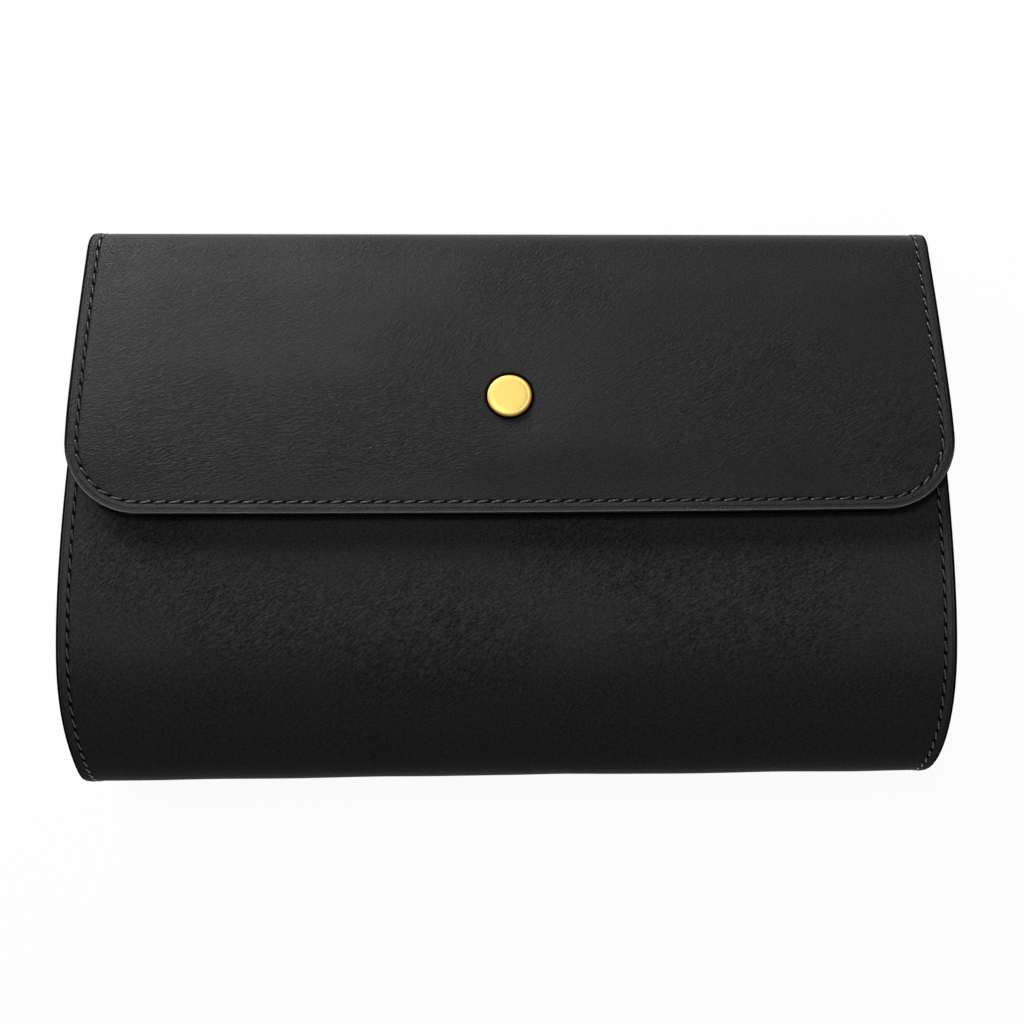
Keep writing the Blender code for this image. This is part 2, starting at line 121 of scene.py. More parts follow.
# Soft swells of the leather, and the relief of its surface
SWELL_LENGTHS = (38 * MM, 30 * MM)
FLAP_SWELL, SHELL_SWELL = 0.22 * MM, 0.30 * MM
PULL_DEPTH, PULL_WIDTH = 0.20 * MM, 22 * MM
SEAT_DEPTH = 0.35 * MM
PEBBLE_DEPTH = 0.045 * MM
GRAIN_DEPTH = 0.24 * MM
RIPPLE_DEPTH = 0.10 * MM
CREASE_DEPTH = 0.15 * MM

# Inside fittings
POCKET_WIDTH = 78 * MM
POCKET_HEIGHT = 62 * MM
POCKET_SPACING = 4 * MM
POCKET_FROM_BOTTOM = 16 * MM
POCKET_THICKNESS = 0.9 * MM
POCKET_BULGE = 2.2 * MM
SCOOP_HALF_WIDTH = 13 * MM
SCOOP_DEPTH = 9 * MM
BINDING_WIDTH = 5 * MM
LOOP_BAND = 20 * MM
LOOP_THICKNESS = 1.0 * MM
LOOP_FOOT = 6 * MM
LOOP_FROM_POCKET = 6 * MM
CABLE_LOOPS = (-72.5 * MM, -33.5 * MM, 5.5 * MM, 44.5 * MM)
CABLE_LOOP_SIZE = (24 * MM, 9 * MM)
PEN_LOOP = 78 * MM
PEN_LOOP_SIZE = (13 * MM, 11 * MM)

SIDES = (("left", -1), ("right", 1))
HALF_WIDTH = CASE_WIDTH / 2
HALF_HEIGHT = CASE_HEIGHT / 2
FLAP_THICKNESS = LEATHER + SEAM_GAP + FLAP_LINING
LINING_START = LEATHER + SEAM_GAP
LINING_HALF_WIDTH = HALF_WIDTH - FLANGE_WIDTH - LINING_MARGIN
POCKET_FLOOR = BACK_CORNER_RADIUS + POCKET_FROM_BOTTOM - HALF_HEIGHT

# The photograph's camera: place, turn, focal length and the centre of its picture
CAMERA_PLACE = (8.44 * MM, 5.32 * MM, 347.32 * MM)
CAMERA_TURN = (2.747, 1.048, 0.181)
FOCAL_PIXELS = 1142.4
CENTRE_PIXELS = (50.0, 30.0)
PICTURE_PIXELS = 1024
SENSOR_WIDTH = 36.0

# Points along a side profile's curves
PROFILE_STEPS, ROUND_STEPS, CORNER_STEPS = 60, 40, 16

# Studio
SKY_LEVEL = 0.08
FLOOR_TONE = 0.12
FLOOR_GLOW = 0.94


# Side profiles


def arc(centre, radii, start, end, steps):
    """Points round a circle or an upright ellipse, from angle start to end."""
    angles = [start + (end - start) * k / steps for k in range(steps + 1)]
    return [centre + Vector((radii[0] * cos(a), radii[1] * sin(a))) for a in angles]


def bezier(first, leaving, arriving, last):
    points = []
    for k in range(PROFILE_STEPS + 1):
        t = k / PROFILE_STEPS
        u = 1 - t
        points.append(
            first * u**3 + leaving * (3 * t * u**2) + arriving * (3 * t**2 * u) + last * t**3
        )
    return points


def right_of(direction):
    return Vector((direction.y, -direction.x)).normalized()


def across(x, point):
    """A side profile's point, x across the case."""
    return Vector((x, point.x, point.y))


def blended(low, high, value):
    """0 under low, 1 over high, and a smooth step between."""
    share = min(max((value - low) / (high - low), 0.0), 1.0)
    return share * share * (3 - 2 * share)


def measured(points):
    """How far along a line each of its points lies."""
    gone = [0.0]
    for a, b in pairwise(points):
        gone.append(gone[-1] + (b - a).length)
    return gone


def passed(gone, distance):
    """The last point before a distance along a line, and the share of the way to the next."""
    after = bisect_left(gone, distance, 1, len(gone) - 1)
    return after - 1, (distance - gone[after - 1]) / (gone[after] - gone[after - 1])


def frame_at(spot, along, up):
    """A frame at a spot, its X axis along one way and its Z axis up another."""
    turned = Matrix((along, up.cross(along), up)).transposed().to_4x4()
    turned.translation = spot
    return turned


class Course:
    """A line in the side view that a sheet follows, from its start to its end."""

    def __init__(self, points):
        self.points = points
        self.gone = measured(points)
        sides = [right_of(b - a) for a, b in pairwise(points)]
        middles = [(a + b).normalized() for a, b in pairwise(sides)]
        self.sides = [sides[0], *middles, sides[-1]]
        self.length = self.gone[-1]

    def at(self, distance):
        """The point at a distance along the course, and the way inwards there."""
        before, share = passed(self.gone, distance)
        inward = self.sides[before].lerp(self.sides[before + 1], share).normalized()
        return self.points[before].lerp(self.points[before + 1], share), inward

    def place(self, x, distance, height):
        """Where a point of the flat pattern lies, at a height over the course."""
        point, inward = self.at(distance)
        return across(x, point - inward * height)

    def frame(self, x, distance, height, heading):
        """A frame on the bent sheet: X along a heading in the flat pattern, Z outwards."""
        out = across(0, -self.at(distance)[1])
        along = Vector((heading.x, out.z * heading.y, -out.y * heading.y)).normalized()
        return frame_at(self.place(x, distance, height), along, out)

    def nearest(self, target, steps=4000):
        """The distance along the course where it passes closest to a target."""
        spots = [self.length * k / steps for k in range(steps + 1)]
        return min(spots, key=lambda distance: (self.at(distance)[0] - target).length)


def fold_start():
    """The fold's centre, the flap line's slope, and the point where it leaves the fold."""
    centre = Vector((HALF_HEIGHT - FOLD_RADIUS, FOLD_RADIUS))
    shoulder = Vector((BELLY_REACH - HALF_HEIGHT + CREST_HANDLE, CASE_DEPTH + SHOULDER_RISE))
    reach = shoulder - centre
    slope = atan2(reach.y, -reach.x) - asin(FOLD_RADIUS / reach.length)
    leaving = pi / 2 - slope
    end = centre + FOLD_RADIUS * Vector((cos(leaving), sin(leaving)))
    return centre, slope, end


def front_profile():
    """The front panel's outer face, from the crest to the mouth."""
    _, slope, end = fold_start()
    rising = Vector((-cos(slope), sin(slope)))
    outward = Vector((sin(slope), cos(slope)))
    mouth = end + rising * MOUTH_SETBACK - outward * (FLAP_THICKNESS + FLAP_CLEARANCE)
    crest = Vector((BELLY_REACH - HALF_HEIGHT, CASE_DEPTH))
    leaving = crest + Vector((CREST_HANDLE, 0))
    return bezier(crest, leaving, mouth + rising * MOUTH_HANDLE, mouth)


def bottom_profile():
    """The outer face round the bottom, from the back to the crest."""
    corner = Vector((BACK_CORNER_RADIUS - HALF_HEIGHT, BACK_CORNER_RADIUS))
    belly = Vector((BELLY_REACH - HALF_HEIGHT, BACK_CORNER_RADIUS))
    radii = (BELLY_REACH, CASE_DEPTH - BACK_CORNER_RADIUS)
    rising = arc(belly, radii, pi, pi / 2, ROUND_STEPS)
    radii = (BACK_CORNER_RADIUS, BACK_CORNER_RADIUS)
    return arc(corner, radii, -pi / 2, -pi, CORNER_STEPS) + rising[1:]


def cover_course():
    """From the flap's free end up to the fold and round it to the back."""
    centre, slope, end = fold_start()
    under = FLAP_LENGTH - MOUTH_SETBACK
    points = [end]
    for k in range(PROFILE_STEPS + 1):
        distance = under * k / PROFILE_STEPS
        point, outward = FRONT.at(distance)
        past = max(0.0, (distance - SNAP_FROM_MOUTH) / (under - SNAP_FROM_MOUTH))
        narrowing = (1 - cos(pi * past)) / 2
        clearance = FLAP_CLEARANCE + (FLAP_END_CLEARANCE - FLAP_CLEARANCE) * narrowing
        points.append(point + outward * (clearance + FLAP_THICKNESS))
    radii = (FOLD_RADIUS, FOLD_RADIUS)
    round_fold = arc(centre, radii, pi / 2 - slope, -pi / 2, ROUND_STEPS)
    return Course(points[::-1] + round_fold[1:])


# The front panel from its mouth down, so that its right side is the outside, and the whole
# shell from the top of the back to the mouth
FRONT = Course(front_profile()[::-1])
SHELL = Course([Vector((fold_start()[0].x, 0))] + bottom_profile() + front_profile()[1:])
COVER = cover_course()

# The snap's frame on the front panel, and how far along the flap and the shell it sits
SNAP_SPOT, SNAP_WAY = FRONT.at(SNAP_FROM_MOUTH)
SNAP = frame_at(across(0, SNAP_SPOT), Vector((1, 0, 0)), across(0, SNAP_WAY))
SNAP_ON_FLAP = COVER.nearest((SNAP @ Vector((0, 0, FLAP_CLEARANCE + FLAP_THICKNESS))).yz)
SNAP_ON_SHELL = SHELL.length - SNAP_FROM_MOUTH


# Modelling


def added(name, data):
    """A new object of the scene."""
    made = bpy.data.objects.new(name, data)
    bpy.context.scene.collection.objects.link(made)
    return made


def only(piece):
    """Make one piece the selected and active one."""
    bpy.ops.object.select_all(action="DESELECT")
    piece.select_set(True)
    bpy.context.view_layer.objects.active = piece


def apply_modifiers(piece):
    only(piece)
    for modifier in list(piece.modifiers):
        bpy.ops.object.modifier_apply(modifier=modifier.name)


def graded(low, high, coarse, *marks):
    """Stations from low to high, closer together near marks of (place, step, reach)."""
    spots = [low]
    while spots[-1] < high:
        step = coarse
        for place, fine, reach in marks:
            off = abs(spots[-1] - place)
            step = min(step, fine + (coarse - fine) * blended(0, reach, off))
        spots.append(spots[-1] + step)
    stretch = (high - low) / (spots[-1] - low)
    return [low + (spot - low) * stretch for spot in spots]


def mirrored(half_width, coarse, *marks):
    """Stations for both sides of a sheet, graded from its middle."""
    right = graded(0, half_width, coarse, *marks)
    return [-spot for spot in right[:0:-1]] + right


def cut_sheet(name, columns, rows, trim=None):
    """A flat sheet whose UVs keep its pattern: x across, and the distance along.

    trim moves a point of the pattern, to follow an outline that isn't square.
    """
    bpy.ops.mesh.primitive_grid_add(x_subdivisions=len(columns) - 1, y_subdivisions=len(rows) - 1)
    sheet = bpy.context.object
    sheet.name = name
    spots = [(x, distance) for distance in rows for x in columns]
    if trim:
        spots = [trim(*spot) for spot in spots]
    for point, (x, distance) in zip(sheet.data.vertices, spots):
        point.co = (x, distance, 0)
    pattern = sheet.data.uv_layers[0]
    pattern.name = "pattern"
    for corner in sheet.data.loops:
        pattern.data[corner.index].uv = spots[corner.vertex_index]
    return sheet


def bend(sheet, place):
    """Move each point of a flat sheet to where place puts it."""
    for point in sheet.data.vertices:
        point.co = place(point.co.x, point.co.y)


def thicken(sheet, thickness, rounding):
    """Give a bent sheet its thickness inwards, and round its cut edges."""
    wall = sheet.modifiers.new("Thickness", "SOLIDIFY")
    wall.thickness = thickness
    wall.offset = -1
    wall.use_even_offset = True
    edge = sheet.modifiers.new("Rounded edges", "BEVEL")
    edge.width = rounding
    edge.segments = 3
    edge.angle_limit = radians(55)
    apply_modifiers(sheet)
    bpy.ops.object.shade_smooth_by_angle(angle=radians(40))


def settle(piece):
    """Move a piece of the case as the soft case has settled."""
    for point in piece.data.vertices:
        x, y, z = point.co
        low = 1 - blended(*CORNER_HEIGHTS, z)
        flare = CORNER_FLARE * (1 - blended(*CORNER_LENGTHS, y))
        point.co.x -= flare * blended(HALF_WIDTH / 2, HALF_WIDTH, -x) * low**2
        sag = BOTTOM_SAG - BOTTOM_SLANT * x / HALF_WIDTH
        point.co.y -= sag * (1 - blended(BOTTOM_REACH - HALF_HEIGHT, 0, y))


def finish(piece, look, body, *nodes):
    """Give a piece its finish and its body, and let it stand for its nodes of the model.

    A piece whose body is given as "fold" is attached to no body, and its place is baked into its
    mesh.
    """
    if body == "case":
        settle(piece)
    piece.data.materials.clear()
    piece.data.materials.append(look.material)
    if body != "fold":
        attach(piece, body)
    if nodes:
        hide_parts(*nodes)
    if body == "fold":
        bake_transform(piece)


def turn(name, rings):
    """A turned piece at the snap: a circle extruded through (radius, height) pairs."""
    radius, height = rings[0]
    bpy.ops.mesh.primitive_circle_add(vertices=64, radius=radius, location=(0, 0, height))
    piece = bpy.context.object
    piece.name = name
    bpy.ops.object.transform_apply()
    bpy.ops.object.mode_set(mode="EDIT")
    bpy.ops.mesh.select_all(action="SELECT")
    for new_radius, new_height in rings[1:]:
        bpy.ops.mesh.extrude_region_move(
            TRANSFORM_OT_translate={"value": (0, 0, new_height - height)}
        )
        grown = new_radius / radius
        bpy.ops.transform.resize(value=(grown, grown, 1), center_override=(0, 0, new_height))
        radius, height = new_radius, new_height
    bpy.ops.mesh.edge_face_add()
    bpy.ops.mesh.poke()
    bpy.ops.mesh.select_all(action="DESELECT")
    bpy.ops.mesh.select_non_manifold()
    bpy.ops.mesh.edge_face_add()
    bpy.ops.mesh.select_all(action="SELECT")
    bpy.ops.mesh.normals_make_consistent(inside=False)
    bpy.ops.object.mode_set(mode="OBJECT")
    pattern = piece.data.uv_layers.new(name="pattern")
    for corner in piece.data.loops:
        pattern.data[corner.index].uv = piece.data.vertices[corner.vertex_index].co.xy
    piece.data.transform(SNAP)
    bpy.ops.object.shade_smooth_by_angle(angle=radians(35))
    return piece


# Thread


def walk(path):
    """Spots a stitch apart along a line of pattern points, each with its heading."""
    path = [Vector(spot) for spot in path]
    gone = measured(path)
    count = round(gone[-1] / STITCH_PITCH)
    spots = []
    for k in range(count):
        before, share = passed(gone, gone[-1] * (k + 0.5) / count)
        a, b = path[before], path[before + 1]
        spots.append((a.lerp(b, share), (b - a).normalized()))
    return spots


def model_stitch():
    """One stitch along X: a round thread that dips into its holes at both ends."""
    bpy.ops.mesh.primitive_uv_sphere_add(segments=8, ring_count=8, rotation=(0, pi / 2, 0))
    stitch = bpy.context.object
    bpy.ops.object.transform_apply()
    for point in stitch.data.vertices:
        x, y, z = point.co
        fullness = (1 - x**4) ** 0.25 / max(sqrt(1 - min(x * x, 0.999)), 0.05)
        radius = THREAD / 2 * min(fullness, 1.6)
        point.co = (
            x * STITCH_LENGTH / 2,
            y * radius + STITCH_CURL * x**3,
            z * radius - STITCH_DIP * x**6,
        )
    stitch.data.uv_layers[0].name = "pattern"
    bpy.ops.object.shade_smooth()
    return stitch


STITCH = model_stitch()


def sew(name, body, frames, scale=1.0):
    """A seam: one copy of the stitch at each frame, joined into one piece of thread."""
    copies = []
    for place in frames:
        thread = STITCH.data.copy()
        thread.transform(place @ Matrix.Scale(scale, 4))
        copies.append(added(name, thread))
    only(copies[0])
    for copy in copies:
        copy.select_set(True)
    bpy.ops.object.join()
    finish(copies[0], THREAD_LOOK, body)


def seam_frames(course, path, height, slant=0.0, shift=0.0, under=False):
    """Frames for the stitches along a path of the pattern, leaning by a slant.

    height gives how far over the course they lie, at a distance along it.
    """
    frames = []
    for spot, heading in walk(path):
        moved = spot + heading * shift
        place = course.frame(moved.x, moved.y, height(moved.y), heading)
        if under:
            place = place @ Matrix.Rotation(pi, 4, "X")
        frames.append(place @ Matrix.Rotation(slant, 4, "Z"))
    return frames


# Materials


def by_node(operation):
    """A method that takes a signal, and what else it is given, through a maths node."""
    return lambda *values: values[0].math(operation, *values)


class Signal:
    """A node's output that sums can be written with."""

    def __init__(self, network, socket):
        self.network = network
        self.socket = socket

    def math(self, operation, *values):
        return self.network.node("Math", dict(enumerate(values)), operation=operation)[0]

    def __rsub__(self, other):
        return self.math("SUBTRACT", other, self)

    __add__ = __radd__ = by_node("ADD")
    __mul__ = __rmul__ = by_node("MULTIPLY")
    __sub__, __truediv__, __pow__ = by_node("SUBTRACT"), by_node("DIVIDE"), by_node("POWER")
    __abs__, sine = by_node("ABSOLUTE"), by_node("SINE")
    least, most = by_node("MINIMUM"), by_node("MAXIMUM")

    def step(self, low, high):
        """0 under low, 1 over high, and a smooth step between."""
        inputs = {"Value": self, "From Min": low, "From Max": high}
        return self.network.node("MapRange", inputs, interpolation_type="SMOOTHSTEP")[0]

    def ridge(self, centre, width):
        """1 at centre, falling smoothly to 0 at a width to either side."""
        return 1 - abs(self - centre).step(0, width)


class Network:
    """A node tree that nodes are added to by one method."""

    def __init__(self, tree):
        self.tree = tree

    def feed(self, socket, value):
        if isinstance(value, Signal):
            self.tree.links.new(value.socket, socket)
        else:
            socket.default_value = value

    def node(self, kind, inputs, **settings):
        """A node with its settings set first; its outputs come back as signals."""
        made = self.tree.nodes.new("ShaderNode" + kind)
        for key, value in settings.items():
            setattr(made, key, value)
        for key, value in inputs.items():
            self.feed(made.inputs[key], value)
        return [Signal(self, socket) for socket in made.outputs if socket.enabled]

    def seen(self):
        """1 for rays from the camera, and for those that metal and glass send on."""
        path = self.node("LightPath", {})
        from_camera, from_gloss, through_glass = path[0], path[3], path[6]
        return from_camera.most(from_gloss).most(through_glass)


class Look(Network):
    """A material, and the slot of the model's record that it belongs to, if any; the slot is
    stored but not used.
    """

    def __init__(self, name, slot, roughness, **values):
        self.slot = slot
        self.material = bpy.data.materials.new(name)
        self.material.use_nodes = True
        super().__init__(self.material.node_tree)
        self.shader = self.tree.nodes["Principled BSDF"]
        self.set("Roughness", roughness)
        for key, value in values.items():
            self.set(key.replace("_", " "), value)

    def set(self, name, value):
        self.feed(self.shader.inputs[name], value)

    def in_millimetres(self, spot):
        return self.node("VectorMath", {0: spot, "Scale": 1 / MM}, operation="SCALE")[0]

    def pattern(self):
        """The flat pattern in millimetres: as a vector, then its two distances."""
        spot = self.in_millimetres(self.node("UVMap", {}, uv_map="pattern")[0])
        return (spot, *self.split(spot)[:2])

    def split(self, vector):
        return self.node("SeparateXYZ", {0: vector})

    def turned(self, vector, degrees, scale):
        """A vector turned about Z and then stretched, to give a texture a direction."""
        turn = {"Vector": vector, "Rotation": (0, 0, radians(degrees))}
        inputs = {0: self.node("Mapping", turn)[0], 1: scale}
        return self.node("VectorMath", inputs, operation="MULTIPLY")[0]

    def noise(self, vector, scale, detail=2.0, distortion=0.0):
        inputs = {"Vector": vector, "Scale": scale, "Detail": detail, "Distortion": distortion}
        return self.node("TexNoise", inputs)[0]

    def cells(self, vector, scale):
        inputs = {"Vector": vector, "Scale": scale}
        return self.node("TexVoronoi", inputs, feature="SMOOTH_F1")[0]

    def folds(self, vector, degrees, scale, width):
        """1 along wrinkles that run at an angle, falling to 0 at a width beside them."""
        lines = self.noise(self.turned(vector, -degrees, scale), 1.0, 1.5, 0.8)
        return 1 - abs(lines - 0.5).step(0.0, width)

    def mix(self, factor, first, second):
        """A colour between two, by a factor."""
        return self.node("Mix", {0: factor, 6: first, 7: second}, data_type="RGBA")[0]

    def relief(self, height):
        """Surface relief from a height in metres."""
        inputs = {"Strength": 1.0, "Distance": 1.0, "Height": height}
        self.set("Normal", self.node("Bump", inputs)[0])


def grey(value):
    return (value, value, value, 1)


def spot_mask(x, distance, centre, reach):
    """1 at a spot of the pattern and falling to 0 at its reach, in millimetres."""
    across_share = (x - centre[0]) / reach[0]
    along_share = (distance - centre[1]) / reach[1]
    return 1 - (across_share * across_share + along_share * along_share).step(0.1, 1.0)


def leather_look(name, slot, tone, edge=None, creased=(), lie=20, roughness=0.40, gloss=0.003):
    """Smooth black leather with fine slanting grain, wrinkled patches and a sewn, painted edge.

    edge turns the pattern's distances into the distance from the cut edge, and how far that
    edge is a free one, which gets a painted highlight. creased lists patches of wrinkles as
    (centre, reach, degrees), lie is the direction of the grain between them, and gloss how
    much it shines.
    """
    look = Look(name, slot, roughness, Specular_IOR_Level=gloss)
    spot, x, distance = look.pattern()
    cloud = look.noise(spot, 0.030, 2.0)
    pebble = look.cells(look.turned(spot, -lie, (0.75, 1.25, 1)), 1.75)
    grain = look.noise(look.turned(spot, -lie, (1.15, 2.9, 1)), 1.0, 2.0, 0.5)
    height = pebble * PEBBLE_DEPTH + grain * GRAIN_DEPTH
    # Ripples lie all over and creases in their patches, both with painted shade in their folds
    folds = look.folds(spot, lie + 14, (0.42, 1.6, 1), 0.16)
    amount = cloud.step(0.40, 0.65) * 0.6 + 0.3
    height = height - folds * amount * RIPPLE_DEPTH
    mean_fold = 0.45
    shade = (mean_fold - folds) * amount * 0.35
    for centre, reach, degrees in creased:
        folds = look.folds(spot, degrees, (0.36, 1.45, 1), 0.15)
        amount = spot_mask(x, distance, centre, reach)
        height = height - folds * amount * CREASE_DEPTH
        shade = shade + (mean_fold - folds) * amount * 0.6
    # The grain's hills are painted lighter and its hollows darker as painted light and shade, and
    # cloud varies the tone at random
    hills = grain.step(0.40, 0.58)
    tone_and_painted_shade = (hills * 0.5 + 0.75 + shade).most(0.2) * (cloud * 0.16 + 0.92) * 0.5
    colour = look.mix(tone_and_painted_shade, grey(0), grey(tone * 2))
    if edge is not None:
        # Bands along the edge, by their distance from the cut in millimetres, partly painted light
        # and shade
        inside, free = edge(x, distance)
        margin = STITCH_MARGIN / MM
        # The seam's groove and the crease line near the cut are painted darker, as painted shade
        # in their hollows
        groove = 1 - abs(inside - margin).step(0.28, GROOVE_WIDTH / MM + 0.12)
        crease = inside.ridge(1.35, 0.26)
        height = height - groove * (0.10 * MM) - crease * (0.06 * MM)
        rim = 1 - inside.step(margin - 0.6, margin)
        # Along the free edge, a painted highlight: a broad lighter band and a bright line just
        # inside the cut
        painted_edge_light = (1 - inside.step(0.75, 1.25)) * free
        painted_edge_highlight = inside.ridge(0.36, 0.26) * free
        # Black edge paint on the cut. Along the sides it is widened over the face as painted shade
        # of the edge that turns away
        edge_paint_and_shade = 1 - inside.step(0.70, 0.95) * (1 - free) - inside.step(0.10, 0.20) * free
        edge_paint_and_shade = edge_paint_and_shade.most(0)
        tones = ((rim * 0.6, 1.7), (painted_edge_light, 2.3), (crease * 0.9, 0.6), (groove, 0.08))
        for share, lighter in (*tones, (painted_edge_highlight, 9.0), (edge_paint_and_shade, 0.08)):
            colour = look.mix(share, colour, grey(tone * lighter))
        dull = groove.most(edge_paint_and_shade)
        look.set("Roughness", dull * (1.0 - roughness) + roughness)
    look.set("Base Color", colour)
    look.relief(height)
    return look


def flap_edge(x, distance):
    """Millimetres inside the flap's outline."""
    length = FLAP_LENGTH / MM
    lean = (1 - distance / length).most(0) * (FLAP_SKEW / MM)
    radius = FLAP_CORNER_RADIUS / MM
    over_side = (abs(x - lean) - (HALF_WIDTH / MM - radius)).most(0)
    over_end = (radius - distance).most(0)
    inside = radius - (over_side * over_side + over_end * over_end) ** 0.5
    return inside, 1 - distance.step(0.4 * radius, 1.1 * radius)


def shell_edge(x, distance):
    """Millimetres inside the shell's sides and mouth."""
    from_mouth = SHELL.length / MM - distance
    return (HALF_WIDTH / MM - abs(x)).least(from_mouth), 1 - from_mouth.step(1.5, 4.0)


def facing_edge(x, distance):
    """Millimetres inside the facing's lower edge and mouth."""
    low = (SHELL.length - FACING_DEPTH) / MM
    return (distance - low).least(SHELL.length / MM - distance), 0.0


def flap_leather_look():
    """The flap's leather, with a painted shadow ring round the snap's cap."""
    look = leather_look(
        "flap_leather", "outer_leather", FLAP_TONE, flap_edge, FLAP_CREASES, 24, 0.34, 0.07
    )
    _, x, distance = look.pattern()
    # A painted shadow ring round the cap, its centre shifted 0.45 mm towards the fold, with full
    # roughness
    along = distance - (SNAP_ON_FLAP / MM + 0.45)
    off = (x * x + along * along) ** 0.5
    painted_cap_shadow = 1 - (off - CAP_RADIUS / MM).step(0.75, 1.0)
    colour, roughness = [
        Signal(look, look.shader.inputs[name].links[0].from_socket)
        for name in ("Base Color", "Roughness")
    ]
    look.set("Base Color", look.mix(painted_cap_shadow, colour, grey(FLAP_TONE * 0.05)))
    look.set("Roughness", roughness.most(painted_cap_shadow))
    return look


def cloth_look(name, tone, thread_mm):
    """Plain black cloth: over and under threads with slight unevenness."""
    look = Look(name, "lining_fabric", 0.85, Specular_IOR_Level=0.25, Sheen_Weight=0.15)
    spot, x, distance = look.pattern()
    turns = 2 * pi / thread_mm
    wobble = look.noise(spot, 0.4) * 1.2
    warp = (x * turns + wobble).sine()
    weft = (distance * turns + wobble).sine()
    weave = warp * weft
    fuzz = look.noise(spot, 5.0, 4.0)
    raised = (weave * 0.5 + 0.5) * fuzz
    look.set("Base Color", look.mix(raised, grey(tone * 0.6), grey(tone * 1.6)))
    look.relief(weave * (0.05 * MM) + fuzz * (0.03 * MM))
    return look


def elastic_look():
    """Black ribbed elastic: ribs along the band, with a fine cross thread."""
    look = Look("ribbed_elastic", "elastic", 0.8, Specular_IOR_Level=0.25, Sheen_Weight=0.2)
    spot, x, distance = look.pattern()
    ribs = (distance * (2 * pi / 1.3)).sine()
    cross = (x * (2 * pi / 0.6)).sine()
    fuzz = look.noise(spot, 4.0, 3.0)
    look.set("Base Color", look.mix(ribs * 0.5 + 0.5, grey(0.006), grey(0.020)))
    look.relief(ribs * (0.10 * MM) + cross * (0.03 * MM) + fuzz * (0.03 * MM))
    return look


def thread_look():
    """Waxed black thread whose plies twist round it."""
    look = Look("waxed_thread", None, 0.28, Specular_IOR_Level=0.5)
    around, along, _ = look.split(look.node("UVMap", {}, uv_map="pattern")[0])
    plies = ((around * 2 + along * 4) * (2 * pi)).sine()
    look.set("Base Color", look.mix(plies * 0.5 + 0.5, grey(0.008), grey(0.026)))
    look.relief(plies * (0.03 * MM))
    return look


def gilt_look():
    """Pale yellow gilt with a satin face and a few fine scuffs."""
    look = Look("pale_gilt", "snap_cap_metal", 0.34, Metallic=0.25)
    spot, x, y = look.pattern()
    scuffs = look.noise(look.turned(spot, 35, (0.5, 6.0, 1)), 1.0, 3.0)
    cloud = look.noise(spot, 0.5, 2.0)
    off = (x * x + y * y) ** 0.5 / (CAP_RADIUS / MM)
    colour = look.mix(cloud, (0.95, 0.69, 0.150, 1), (0.98, 0.74, 0.185, 1))
    # Painted shade: the rounded rim outside 0.9 of the cap's radius is a deeper yellow
    colour = look.mix(off.step(0.90, 0.95), colour, (0.88, 0.53, 0.07, 1))
    # Painted highlight: a thin light ring at 0.865 of the cap's radius
    colour = look.mix(off.ridge(0.865, 0.035) * 0.7, colour, (1.0, 0.84, 0.42, 1))
    look.set("Base Color", colour)
    look.set("Roughness", 0.30 + scuffs * 0.10)
    look.relief(scuffs * (0.004 * MM))
    return look


def brass_look():
    """Polished brass with fine turning marks and a little tarnish."""
    look = Look("turned_brass", "snap_metal", 0.25, Metallic=1.0)
    spot = look.in_millimetres(look.node("TexCoord", {})[3])
    tarnish = look.noise(spot, 0.9, 4.0)
    clean, dark = (0.80, 0.58, 0.22, 1), (0.42, 0.29, 0.12, 1)
    look.set("Base Color", look.mix(tarnish.step(0.4, 0.8), clean, dark))
    look.set("Roughness", 0.18 + tarnish * 0.25)
    look.relief(look.noise(spot, 8.0, 2.0) * (0.004 * MM))
    return look


FLAP_TONE = 0.022

# Patches of creases: centre and reach in millimetres of the pattern, and degrees
FLAP_CREASES = (
    ((10, 66), (30, 20), 38),
    ((-20, 46), (26, 16), 55),
    ((-38, 24), (52, 20), 8),
    ((-88, 26), (30, 22), 18),
    ((62, 34), (50, 26), 24),
    ((100, 20), (22, 24), 30),
)
BELLY_MIDDLE = (SHELL.length - 98 * MM) / MM
SHELL_CREASES = (
    ((-24, BELLY_MIDDLE), (44, 24), 36),
    ((-98, BELLY_MIDDLE + 22), (24, 24), 48),
    ((-70, BELLY_MIDDLE + 6), (30, 20), 28),
    ((60, BELLY_MIDDLE + 8), (50, 26), 30),
    ((20, BELLY_MIDDLE + 22), (30, 18), 52),
)

# The flap and the shell are one leather in lit and shaded copies: the shell's tone is painted
# about twice the flap's
FLAP_LOOK = flap_leather_look()
SHELL_LOOK = leather_look(
    "shell_leather", "outer_leather", 0.043, shell_edge, SHELL_CREASES, lie=36
)
FACING_LOOK = leather_look("facing_leather", "outer_leather", 0.028, facing_edge, lie=12)
GUSSET_LOOK = leather_look("gusset_leather", "outer_leather", 0.016, lie=80)
LINING_LEATHER_LOOK = leather_look(
    "flap_lining_leather", "flap_lining_leather", 0.016, flap_edge, roughness=0.55
)
LINING_LOOK = cloth_look("lining_cloth", 0.016, 0.9)
POCKET_LOOK = cloth_look("pocket_cloth", 0.020, 0.7)
BINDING_LOOK = cloth_look("binding_tape", 0.012, 1.2)
ELASTIC_LOOK = elastic_look()
THREAD_LOOK = thread_look()
GILT_LOOK = gilt_look()
BRASS_LOOK = brass_look()


# Leather cover: the flap and the top fold


def lean_of(distance):
    """How far the flap leans sideways at a distance from its free end."""
    return FLAP_SKEW * max(0.0, 1 - distance / FLAP_LENGTH)


def hung(x, distance):
    """The flap's end isn't quite straight: where a point of the flap hangs along the course."""
    across_share = x / HALF_WIDTH
    longer = END_DROP - END_SLANT * across_share - END_BOW * across_share**2
    return distance - longer * max(0.0, 1 - distance / FLAP_LENGTH)


